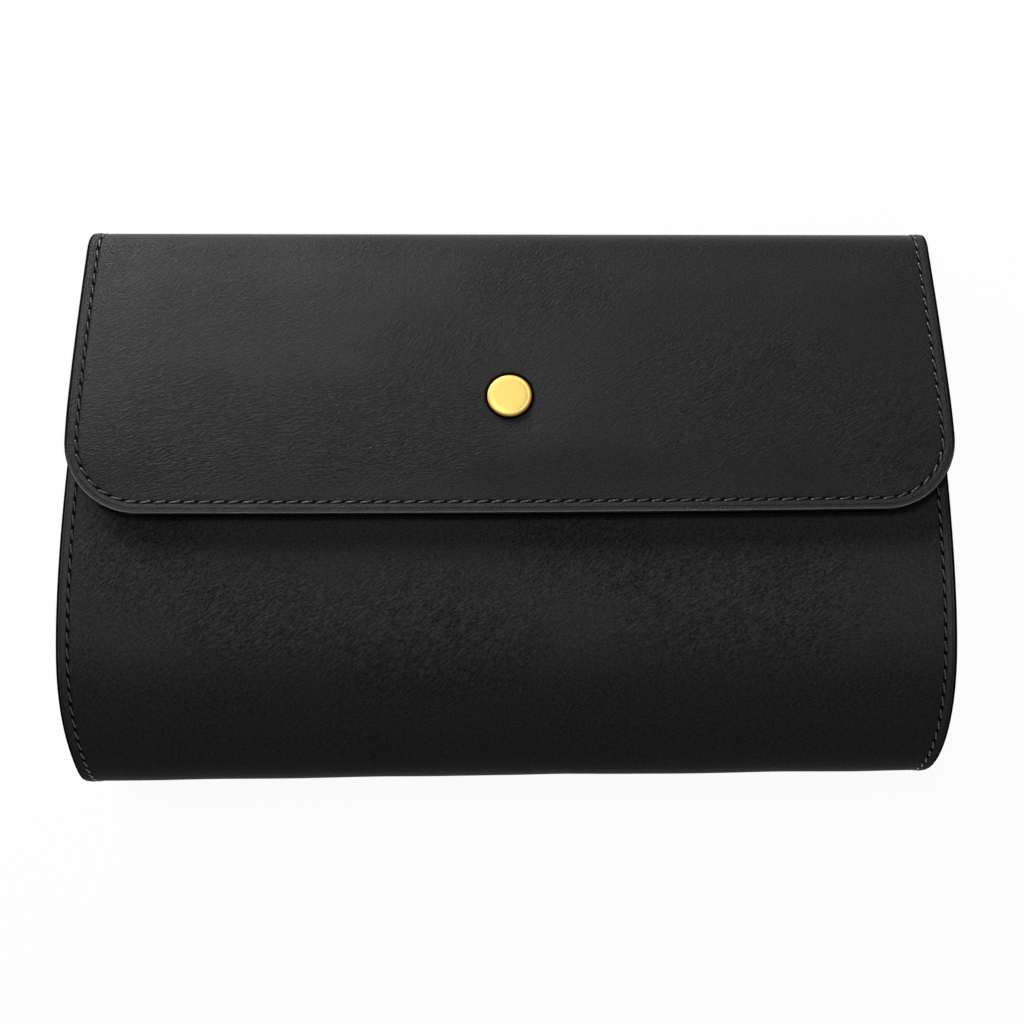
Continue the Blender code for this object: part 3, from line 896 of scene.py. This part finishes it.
def trim_cover(x, distance):
    """Follow the flap's rounded corners and its lean."""
    past = max(FLAP_CORNER_RADIUS - distance, 0.0)
    narrowing = FLAP_CORNER_RADIUS - sqrt(FLAP_CORNER_RADIUS**2 - past**2)
    near_edge = blended(0.45 * HALF_WIDTH, HALF_WIDTH, abs(x))
    moved = x - copysign(narrowing, x) * near_edge
    return moved + lean_of(distance), distance


def inside_flap(x, distance):
    """How far inside the flap's outline a point lies, up to the corner radius."""
    over_side = max(abs(x - lean_of(distance)) - (HALF_WIDTH - FLAP_CORNER_RADIUS), 0.0)
    over_end = max(FLAP_CORNER_RADIUS - distance, 0.0)
    return FLAP_CORNER_RADIUS - hypot(over_side, over_end)


def sewn_edge(inside):
    """The height of a sewn edge: a soft rim, and a groove that the stitches pull in."""
    rim = sin(pi * min(max(inside / STITCH_MARGIN, 0.0), 1.0))
    groove = exp(-(((inside - STITCH_MARGIN) / (1.3 * GROOVE_WIDTH)) ** 2))
    return RIM_RISE * rim - 0.5 * GROOVE_DEPTH * groove


def softness(x, distance, seed):
    """Slow swells of the leather, between -1 and 1."""
    spot = Vector((x / SWELL_LENGTHS[0], distance / SWELL_LENGTHS[1], seed))
    return noise.noise(spot) + 0.4 * noise.noise(spot * 2.3)


def dimple(x, distance, centre):
    """1 at the snap's middle, falling to 0 round it."""
    return exp(-((hypot(x, distance - centre) / DIMPLE_REACH) ** 2))


def cover_height(x, distance):
    inside = inside_flap(x, distance)
    fullness = blended(STITCH_MARGIN, FLAP_CORNER_RADIUS, inside)
    fullness *= 1 - blended(FLAP_LENGTH - 14 * MM, FLAP_LENGTH + 2 * MM, distance)
    puffed = PUFF * fullness * (1 - dimple(x, distance, SNAP_ON_FLAP))
    pull = exp(-((x / PULL_WIDTH) ** 2)) * blended(SNAP_ON_FLAP, SNAP_ON_FLAP + 30 * MM, distance)
    swell = FLAP_SWELL * softness(x, distance, 3.0) * fullness
    return puffed + swell - PULL_DEPTH * pull * fullness + sewn_edge(inside)


COVER_COLUMNS = mirrored(
    HALF_WIDTH, 3.5 * MM, (0, 0.7 * MM, 14 * MM), (HALF_WIDTH, 0.7 * MM, 26 * MM)
)
COVER_ROWS = graded(
    0,
    COVER.length,
    2.6 * MM,
    (0, 0.7 * MM, 26 * MM),
    (SNAP_ON_FLAP, 0.7 * MM, 14 * MM),
    (COVER.length - 10 * MM, 1.0 * MM, 24 * MM),
)


def make_cover():
    cover = cut_sheet("cover_leather", COVER_COLUMNS, COVER_ROWS, trim_cover)
    bend(cover, lambda x, distance: COVER.place(x, hung(x, distance), cover_height(x, distance)))
    thicken(cover, LEATHER, ROUNDED_EDGE)
    finish(cover, FLAP_LOOK, "fold", "top_fold", "flap_leather")


def trim_lining(x, distance):
    """As the cover, but drawn in over the fold to pass between the gussets."""
    x, distance = trim_cover(x, distance)
    drawn = blended(FLAP_LENGTH - 9 * MM, FLAP_LENGTH, distance)
    return x * (1 - drawn * (1 - LINING_HALF_WIDTH / HALF_WIDTH)), distance


def make_cover_lining():
    lining = cut_sheet("cover_lining", COVER_COLUMNS, COVER_ROWS, trim_lining)
    top = -(LEATHER + GLUE_GAP)

    def place(x, distance):
        dip = min(cover_height(x, distance), 0.0)
        fullness = 1 - blended(FLAP_LENGTH - 20 * MM, FLAP_LENGTH, distance)
        return COVER.place(x, hung(x, distance), top + dip * fullness)

    bend(lining, place)
    thicken(lining, FLAP_THICKNESS - LEATHER - GLUE_GAP, 0.3 * MM)
    finish(lining, LINING_LEATHER_LOOK, "fold", "fold_lining", "flap_lining")


def flap_seam_path(top):
    """The stitch line from a distance along the cover, round the flap and up again."""
    radius = FLAP_CORNER_RADIUS - STITCH_MARGIN
    side = HALF_WIDTH - STITCH_MARGIN
    inner = HALF_WIDTH - FLAP_CORNER_RADIUS
    corner = Vector((-inner, FLAP_CORNER_RADIUS))
    left = arc(corner, (radius, radius), pi, 1.5 * pi, 24)
    corner = Vector((inner, FLAP_CORNER_RADIUS))
    right = arc(corner, (radius, radius), 1.5 * pi, 2 * pi, 24)
    bottom = min(top, FLAP_LENGTH) - 1 * MM
    down = [Vector((-side, top)), Vector((-side, bottom))]
    up = [Vector((side, bottom)), Vector((side, top))]
    steps = 16
    low = [left[-1].lerp(right[0], k / steps) for k in range(1, steps)]
    path = down + left + low + right + up
    return [Vector((spot.x + lean_of(spot.y), hung(spot.x, spot.y))) for spot in path]


def cover_stitch_height(distance):
    """How high the cover's thread lies: a little deeper where the case rests on it."""
    return -0.12 * MM - 0.18 * MM * blended(COVER.length - 8 * MM, COVER.length - 3 * MM, distance)


def make_cover_seams():
    path = flap_seam_path(COVER.length - 1.5 * MM)
    frames = seam_frames(COVER, path, cover_stitch_height, STITCH_SLANT)
    sew("cover_stitches", "fold", frames)
    path = flap_seam_path(FLAP_LENGTH - 10 * MM)
    low = 0.05 * MM - FLAP_THICKNESS
    frames = seam_frames(COVER, path, lambda _: low, STITCH_SLANT, STITCH_PITCH / 2, under=True)
    sew("cover_stitches_inside", "fold", frames, 0.9)


# Leather shell: the back, the bottom and the front panel

BACK_END = 138 * MM


def on_back(distance):
    """1 on the flat back, falling to 0 round the bottom's corner."""
    return 1 - blended(BACK_END - 1 * MM, BACK_END + 10 * MM, distance)


def shell_height(x, distance):
    inside = min(HALF_WIDTH - abs(x), SHELL.length - distance)
    clear_of_edges = blended(STITCH_MARGIN, 22 * MM, inside)
    swell = SHELL_SWELL * softness(x, distance, 8.0) * clear_of_edges
    seat = SEAT_DEPTH * dimple(x, distance, SNAP_ON_SHELL)
    height = sewn_edge(inside) + swell - seat
    resting = on_back(distance)
    return height * (1 - resting) + 1.7 * min(height, 0.0) * resting


def shell_stitch_height(distance):
    """How high the shell's thread lies: deeper on the back, which the case rests on."""
    return -0.12 * MM - 0.20 * MM * on_back(distance)


def make_shell():
    columns = mirrored(
        HALF_WIDTH, 4.5 * MM, (0, 1.5 * MM, 12 * MM), (HALF_WIDTH, 0.8 * MM, 14 * MM)
    )
    rows = graded(
        0,
        SHELL.length,
        3.0 * MM,
        (SHELL.length, 0.8 * MM, 14 * MM),
        (SNAP_ON_SHELL, 1.2 * MM, 12 * MM),
        (BACK_END, 1.4 * MM, 22 * MM),
    )
    shell = cut_sheet("shell_leather", columns, rows)
    bend(shell, lambda x, distance: SHELL.place(x, distance, shell_height(x, distance)))
    thicken(shell, LEATHER, ROUNDED_EDGE)
    finish(shell, SHELL_LOOK, "case", "outer_shell")


def bend_lining(lining, depth, seed):
    """Lay a sheet along the shell's inside, slightly puckered."""

    def place(x, distance):
        pucker = 0.10 * MM * softness(x * 2, distance * 2, seed)
        return SHELL.place(x, distance, pucker - depth)

    bend(lining, place)


def make_body_lining():
    columns = mirrored(LINING_HALF_WIDTH, 4 * MM)
    under_facing = SHELL.length - FACING_DEPTH + 6 * MM
    rows = graded(0.3 * MM, under_facing, 3 * MM, (BACK_END, 1.5 * MM, 22 * MM))
    lining = cut_sheet("lining_cloth", columns, rows)
    bend_lining(lining, LINING_START, 1.0)
    thicken(lining, LINING, 0.2 * MM)
    finish(lining, LINING_LOOK, "case", "body_lining")


def make_facing():
    columns = mirrored(LINING_HALF_WIDTH, 4 * MM, (0, 1.5 * MM, 10 * MM))
    low = SHELL.length - FACING_DEPTH
    rows = graded(low, SHELL.length - SEAM_GAP, 2.5 * MM, (low, 0.8 * MM, 8 * MM))
    facing = cut_sheet("mouth_facing", columns, rows)
    bend_lining(facing, LINING_START + 0.10 * MM, 2.0)
    thicken(facing, FACING, 0.25 * MM)
    finish(facing, FACING_LOOK, "case", "front_facing")
    side = LINING_HALF_WIDTH - STITCH_MARGIN
    path = [(-side, low + STITCH_MARGIN), (side, low + STITCH_MARGIN)]
    height = -(LINING_START + FACING + 0.05 * MM)
    frames = seam_frames(SHELL, path, lambda _: height, under=True)
    sew("facing_stitches", "case", frames, 0.85)


def make_shell_seams():
    start, end = 2 * MM, SHELL.length - STITCH_MARGIN
    side = HALF_WIDTH - STITCH_MARGIN
    path = [(-side, start), (-side, end), (side, end), (side, start)]
    frames = seam_frames(SHELL, path, shell_stitch_height, STITCH_SLANT)
    sew("shell_stitches", "case", frames)
    low = -(LINING_START + GUSSET_LEATHER - 0.05 * MM)
    frames = []
    for x in (-side, side):
        path = [(x, start), (x, end)]
        frames += seam_frames(
            SHELL, path, lambda _: low, STITCH_SLANT, STITCH_PITCH / 2, under=True
        )
    sew("flange_stitches", "case", frames, 0.9)


# Gussets


def gusset_rows(steps):
    """Front and back points of the gusset at matching heights, and the bottom run between."""
    seam = Course([SHELL.place(0, d, -LINING_START).yz for d in SHELL.gone])
    crest = len(seam.points) - len(front_profile())
    front_length = seam.length - seam.gone[crest] - SEAM_GAP
    front, back = [], []
    for k in range(steps + 1):
        front.append(seam.at(seam.gone[crest] + front_length * k / steps)[0])
        back.append(Vector((front[-1].x, LINING_START)))
    bottom = [point for point in seam.points[1:crest] if point.x < back[0].x]
    return front, back, bottom


def gusset_creases(front, back):
    """How far in each pair's crease lies, and its place between front and back."""
    half_gaps = [(a - b).length / 2 for a, b in zip(front, back)]
    half_gusset = hypot(max(half_gaps), BELLY_FOLD_DEPTH)
    depths = [sqrt(half_gusset**2 - half_gap**2) for half_gap in half_gaps]
    return [(depth, (a + b) / 2) for depth, a, b in zip(depths, front, back)]


def make_gusset(name, side):
    """A side wall: flanges along the seam, and between them a wall that folds inwards."""
    front, back, bottom = gusset_rows(28)
    creases = gusset_creases(front, back)
    half_crease = Vector((0, FOLD_CREASE / 2))
    root = HALF_WIDTH - FLANGE_WIDTH
    seam = front[::-1] + bottom[::-1] + back
    upper = [(depth, middle + half_crease) for depth, middle in creases]
    lower = [(depth, middle - half_crease) for depth, middle in creases]
    fan = len(bottom)
    tips = upper[::-1] + [upper[0]] * (fan // 2) + [lower[0]] * (fan - fan // 2) + lower
    flange = [HALF_WIDTH, HALF_WIDTH - 1 * MM, root + 3 * MM, root + 1 * MM, root]
    shares = [k / 9 for k in range(1, 10)]
    width, rows_up = len(flange) + len(shares), len(front)
    wall = cut_sheet(name, [k * MM for k in range(width)], [k * MM for k in range(len(seam))])
    spots = []
    for point, (depth, tip) in zip(seam, tips):
        spots += [across(x * side, point) for x in flange]
        for share in shares:
            bowed = sin(pi * share) * 0.7 * MM
            spots.append(across(side * (root - depth * share + bowed), point.lerp(tip, share)))
    for vertex, spot in zip(wall.data.vertices, spots):
        vertex.co = spot
    pattern = wall.data.uv_layers[0]
    for corner in wall.data.loops:
        spot = spots[corner.vertex_index]
        pattern.data[corner.index].uv = (spot.y, spot.z + abs(spot.x))
    only(wall)
    last = [row * width + width - 1 for row in range(len(seam))]
    front_crease, back_crease = set(last[:rows_up]), set(last[-rows_up:])
    bpy.ops.object.mode_set(mode="EDIT")
    bpy.ops.mesh.select_mode(type="EDGE")
    bpy.ops.mesh.select_all(action="DESELECT")
    bpy.ops.object.mode_set(mode="OBJECT")
    for edge in wall.data.edges:
        ends = set(edge.vertices)
        edge.select = ends <= front_crease or ends <= back_crease
    bpy.ops.object.mode_set(mode="EDIT")
    bpy.ops.mesh.bridge_edge_loops(number_cuts=1)
    bpy.ops.mesh.select_all(action="SELECT")
    bpy.ops.mesh.remove_doubles(threshold=0.02 * MM)
    bpy.ops.mesh.normals_make_consistent(inside=False)
    bpy.ops.object.mode_set(mode="OBJECT")
    return wall


def finish_gusset(wall, side, node):
    """Thicken a gusset towards the inside of the case and soften its folds."""
    facing_out = sum(face.area * face.normal.x * side for face in wall.data.polygons)
    if facing_out < 0:
        wall.data.flip_normals()
    solid = wall.modifiers.new("Thickness", "SOLIDIFY")
    solid.thickness = GUSSET_LEATHER
    solid.offset = -1
    solid.use_even_offset = True
    solid.use_quality_normals = True
    wall.modifiers.new("Soft folds", "SUBSURF")
    apply_modifiers(wall)
    bpy.ops.object.shade_smooth_by_angle(angle=radians(50))
    finish(wall, GUSSET_LOOK, "case", node)


# Snap


def make_snap():
    seat = FLAP_CLEARANCE + FLAP_THICKNESS + 0.10 * MM
    top = FLAP_CLEARANCE + FLAP_THICKNESS + SEAM_GAP + CAP_HEIGHT
    lip = CAP_RADIUS - CAP_ROUND
    middle = Vector((lip, top - CAP_DROP))
    rounded = [point.to_tuple() for point in arc(middle, (CAP_ROUND, CAP_DROP), 0, pi / 2, 8)]
    rings = [
        (SHANK_RADIUS, FLAP_CLEARANCE - 0.2 * MM),
        (SHANK_RADIUS, seat),
        (CAP_RADIUS - 0.3 * MM, seat),
        (CAP_RADIUS, seat + 0.3 * MM),
        *rounded,
        (lip - 0.08 * MM, top - 0.03 * MM),
        (lip - 0.18 * MM, top - 0.03 * MM),
        (lip - 0.30 * MM, top + 0.01 * MM),
        (lip - 1.2 * MM, top + 0.03 * MM),
        (2.4 * MM, top + 0.05 * MM),
        (0.8 * MM, top + 0.06 * MM),
    ]
    finish(turn("snap_cap_gilt", rings), GILT_LOOK, "flap", "snap_cap")
    back = -(LINING_START + FACING + 0.15 * MM)
    front = back - WASHER_THICKNESS - 0.15 * MM
    soft = 0.35 * MM
    inset = ((WASHER_RADIUS - 1.0 * MM, 0.0), (soft, 0.0), (0.3 * soft, 0.3 * soft), (0.0, soft))
    rings = [(WASHER_RADIUS - off, back - deep) for off, deep in inset]
    rings += [(WASHER_RADIUS - off, front + deep) for off, deep in reversed(inset)]
    finish(turn("snap_washer_leather", rings), GUSSET_LOOK, "case", "snap_washer")
    for node in ("snap_socket", "snap_stud", "snap_eyelet"):
        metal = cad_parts[node]
        metal.data.materials.clear()
        metal.data.materials.append(BRASS_LOOK.material)


# Inside fittings


def scooped(x, middle):
    """How far the open edge dips for a thumb, at x."""
    off = abs(x - middle) / SCOOP_HALF_WIDTH
    return SCOOP_DEPTH * (1 + cos(pi * off)) / 2 if off < 1 else 0.0


def make_pocket(name, side):
    low, high = POCKET_FLOOR, POCKET_FLOOR + POCKET_HEIGHT
    near = side * POCKET_SPACING / 2
    left = min(near, near + side * POCKET_WIDTH)
    right = left + POCKET_WIDTH
    middle = (left + right) / 2

    def trim(x, y):
        return x, y - scooped(x, middle) * (y - low) / POCKET_HEIGHT

    def place(x, y):
        sides = max(sin(pi * (x - left) / POCKET_WIDTH), 0.0)
        bulge = POCKET_BULGE * sides**0.8 * blended(low, high, y) ** 1.2
        return Vector((x, y, LINING_START + LINING + POCKET_THICKNESS + bulge))

    columns = graded(left, right, 3 * MM, (middle, 1 * MM, 18 * MM))
    pocket = cut_sheet(name, columns, graded(low, high, 3 * MM), trim)
    bend(pocket, place)
    thicken(pocket, POCKET_THICKNESS, 0.2 * MM)
    finish(pocket, POCKET_LOOK, "case", f"slip_{name}")

    def trim_binding(x, y):
        return x, y - scooped(x, middle)

    tape = 0.35 * MM
    rows = [high - BINDING_WIDTH, high - BINDING_WIDTH / 2, high + tape]
    binding = cut_sheet(f"{name}_binding", columns, rows, trim_binding)
    bend(binding, lambda x, y: place(x, y) + Vector((0, 0, tape)))
    thicken(binding, POCKET_THICKNESS + 2 * tape, 0.3 * MM)
    finish(binding, BINDING_LOOK, "case")
    inset, top = 2.2 * MM, high - 8 * MM
    down = [(left + inset, top), (left + inset, low + inset)]
    up_again = [(right - inset, low + inset), (right - inset, top)]
    frames = []
    for spot, heading in walk(down + up_again):
        above = place(*spot) + Vector((0, 0, 0.02 * MM))
        frames.append(frame_at(above, heading.to_3d(), Vector((0, 0, 1))))
    sew(f"{name}_stitches", "case", frames, 0.75)


def make_loop(name, node, x, width, height):
    """An elastic band: two sewn feet and a springy arch between them."""
    base = LINING_START + LINING + 0.05 * MM
    top = base + LOOP_THICKNESS
    low = POCKET_FLOOR + POCKET_HEIGHT + LOOP_FROM_POCKET
    arch = arc(Vector((x, base)), (width / 2, height + LOOP_THICKNESS), pi, 0.0, 36)
    softened = [Vector((point.x, max(point.y, top))) for point in arch]
    reaches = [width / 2 + LOOP_FOOT * k / 4 for k in (1, 2, 3, 4)]
    left = [Vector((x - reach, top)) for reach in reversed(reaches)]
    course = Course(left + softened + [Vector((x + reach, top)) for reach in reaches])
    rows = graded(low, low + LOOP_BAND, 1.5 * MM)
    band = cut_sheet(name, graded(0, course.length, 1.2 * MM), rows)

    def place(distance, y):
        point = course.at(distance)[0]
        waist = 1 - 0.06 * (point.y - top) / height
        middle = low + LOOP_BAND / 2
        return Vector((point.x, middle + (y - middle) * waist, point.y))

    bend(band, place)
    thicken(band, LOOP_THICKNESS, 0.2 * MM)
    finish(band, ELASTIC_LOOK, "case", node)
    frames = []
    tacks = 7
    for foot, inset, k in product((-1, 1), (1.6 * MM, 4.2 * MM), range(tacks)):
        turned = Matrix.Rotation(pi / 2 + 0.25 * foot, 4, "Z")
        y = low + LOOP_BAND * (k + 0.5) / tacks
        turned.translation = (x + foot * (width / 2 + inset), y, top + 0.02 * MM)
        frames.append(turned)
    sew(f"{name}_tacks", "case", frames, 0.7)


# Studio


def make_floor():
    bpy.ops.mesh.primitive_plane_add(size=12, location=(0, 0, -0.05 * MM))
    floor = bpy.context.object
    floor.name = "floor"
    look = Look("pale_floor", None, 0.9, Specular_IOR_Level=0.0)
    look.set("Base Color", grey(FLOOR_TONE))
    look.set("Emission Color", look.mix(look.seen(), grey(0.0), grey(1.0)))
    look.set("Emission Strength", FLOOR_GLOW)
    floor.data.materials.append(look.material)


def make_light(name, place, size, power, aim=(0, 0, 0.02)):
    """A soft box: an area light turned to the case."""
    data = bpy.data.lights.new(name, "AREA")
    data.shape = "RECTANGLE"
    data.size, data.size_y = size
    data.energy = power
    light = added(name, data)
    way = Vector(aim) - Vector(place)
    light.rotation_euler = way.to_track_quat("-Z", "Y").to_euler()
    light.location = place


def light_studio():
    world = bpy.data.worlds.new("studio")
    bpy.context.scene.world = world
    world.use_nodes = True
    sky = Network(world.node_tree)
    background = sky.tree.nodes["Background"]
    background.inputs["Color"].default_value = grey(1.0)
    sky.feed(background.inputs["Strength"], sky.seen() * (1 - SKY_LEVEL) + SKY_LEVEL)
    make_light("key", (-0.35, 0.8, 1.5), (0.4, 0.4), 6.0)
    make_light("back_strip", (-0.50, 0.85, 0.13), (0.80, 0.26), 13.5, (-0.05, 0.07, 0.01))
    make_light("front_fill", (0.2, -0.9, 1.3), (1.0, 1.0), 1.1)


def make_camera():
    data = bpy.data.cameras.new("camera")
    data.sensor_width = SENSOR_WIDTH
    data.lens = FOCAL_PIXELS / PICTURE_PIXELS * SENSOR_WIDTH
    data.shift_x = -CENTRE_PIXELS[0] / PICTURE_PIXELS
    data.shift_y = CENTRE_PIXELS[1] / PICTURE_PIXELS
    data.clip_start = 0.01
    camera = added("camera", data)
    turned = Euler([radians(angle) for angle in CAMERA_TURN]).to_matrix().to_4x4()
    camera.matrix_world = Matrix.Translation(CAMERA_PLACE) @ turned.inverted()
    bpy.context.scene.camera = camera


make_camera()
light_studio()
make_floor()
make_cover()
make_cover_lining()
make_cover_seams()
make_shell()
make_body_lining()
make_facing()
make_shell_seams()
for end, side in SIDES:
    finish_gusset(make_gusset(f"gusset_wall_{end}", side), side, f"gusset_{end}")
make_snap()
for end, side in SIDES:
    make_pocket(f"pocket_{end}", side)
for number, middle in enumerate(CABLE_LOOPS, 1):
    make_loop(f"cable_band_{number}", f"cable_loop_{number}", middle, *CABLE_LOOP_SIZE)
make_loop("pen_band", "pen_loop", PEN_LOOP, *PEN_LOOP_SIZE)
bpy.data.objects.remove(STITCH, do_unlink=True)

bpy.context.scene.view_settings.view_transform = "Standard"
